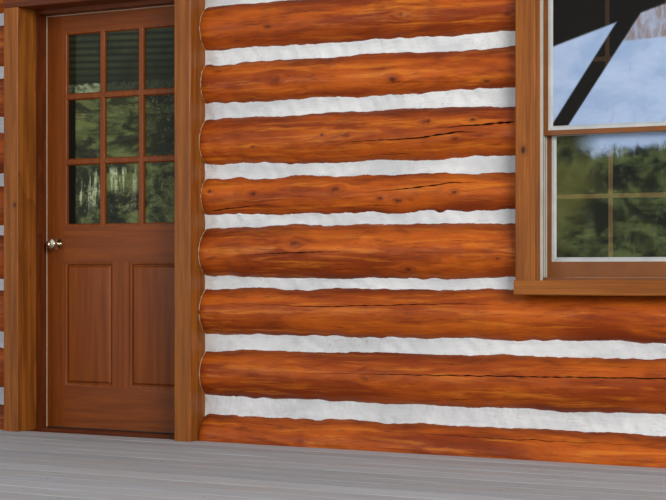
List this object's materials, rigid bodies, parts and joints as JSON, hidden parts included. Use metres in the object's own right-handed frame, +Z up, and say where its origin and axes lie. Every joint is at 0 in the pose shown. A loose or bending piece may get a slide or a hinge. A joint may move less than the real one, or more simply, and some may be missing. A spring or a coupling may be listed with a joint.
{
  "type": "log cabin front wall with door, window and porch deck",
  "caption": "Peeled-log cabin front wall with mortar chinking, a hinged glazed entrance door in timber posts, a double-hung window and a board porch deck.",
  "frame": {"origin": "on the ground, in the wall's centre plane, at the wall's mid-length", "axes": "+X along the wall to the right as seen from the porch, -Y out over the porch, +Z up"},
  "size_m": [4.9218, 2.599, 2.78],
  "materials": {
    "log_timber": "glossy amber stain over peeled logs",
    "mortar": "trowelled off-white mortar",
    "frame_timber": "satin brown stain",
    "door_timber": "satin red-brown stain",
    "sash_timber": "satin brown paint",
    "pale_vinyl": "matt light grey",
    "door_pane": "clear, dark room behind",
    "window_pane": "clear, dark room behind",
    "knob_metal": "satin nickel",
    "hinge_metal": "plain steel",
    "deck_timber": "weathered grey boards",
    "joist_timber": "rough sawn timber"
  },
  "bodies": {
    "cabin_front": {"sill_half_log": "log_timber", "left_wall_logs": "log_timber", "right_wall_logs": "log_timber", "wall_log_1": "log_timber", "wall_log_2": "log_timber", "wall_log_3": "log_timber", "wall_log_4": "log_timber", "wall_log_5": "log_timber", "wall_log_6": "log_timber", "wall_log_7": "log_timber", "wall_log_8": "log_timber", "header_log": "log_timber", "top_plate_log": "log_timber", "chinking_left": "mortar", "chinking_under_window": "mortar", "chinking_middle": "mortar", "chinking_right": "mortar", "chinking_top": "mortar", "door_posts": "frame_timber", "door_head_beam": "frame_timber", "door_sill": "frame_timber", "door_frame_legs": "frame_timber", "door_frame_head": "frame_timber", "door_threshold": "frame_timber", "hinge_leaves_frame": "hinge_metal", "window_posts": "frame_timber", "window_sill": "frame_timber", "window_head_beam": "frame_timber", "window_tracks": "pale_vinyl", "window_frame_rails": "sash_timber", "window_sashes": "sash_timber", "glazing_beads": "pale_vinyl", "window_glass": "window_pane", "deck_boards": "deck_timber", "deck_ledger": "joist_timber", "deck_rim_board": "joist_timber", "deck_joists": "joist_timber"},
    "door_leaf": {"door_stiles": "door_timber", "door_rails": "door_timber", "door_mullion": "door_timber", "door_panels": "door_timber", "door_lite_bars": "door_timber", "door_glass": "door_pane", "knob_roses": "knob_metal", "hinge_leaves_door": "hinge_metal"},
    "knob": {"door_knob": "knob_metal"}
  },
  "joints": [
    {"name": "door_hinge", "type": "hinge", "parent": "cabin_front", "child": "door_leaf", "pos_m": [-0.84855, 0.075, 1.3], "axis": [0, 0, -1], "range_deg": [0, 105]},
    {"name": "knob_turn", "type": "hinge", "parent": "door_leaf", "child": "knob", "pos_m": [-1.69545, 0.046, 1.185], "axis": [0, 1, 0], "range_deg": [-45, 45], "stiffness_Nm_per_rad": 0.4}
  ]
}
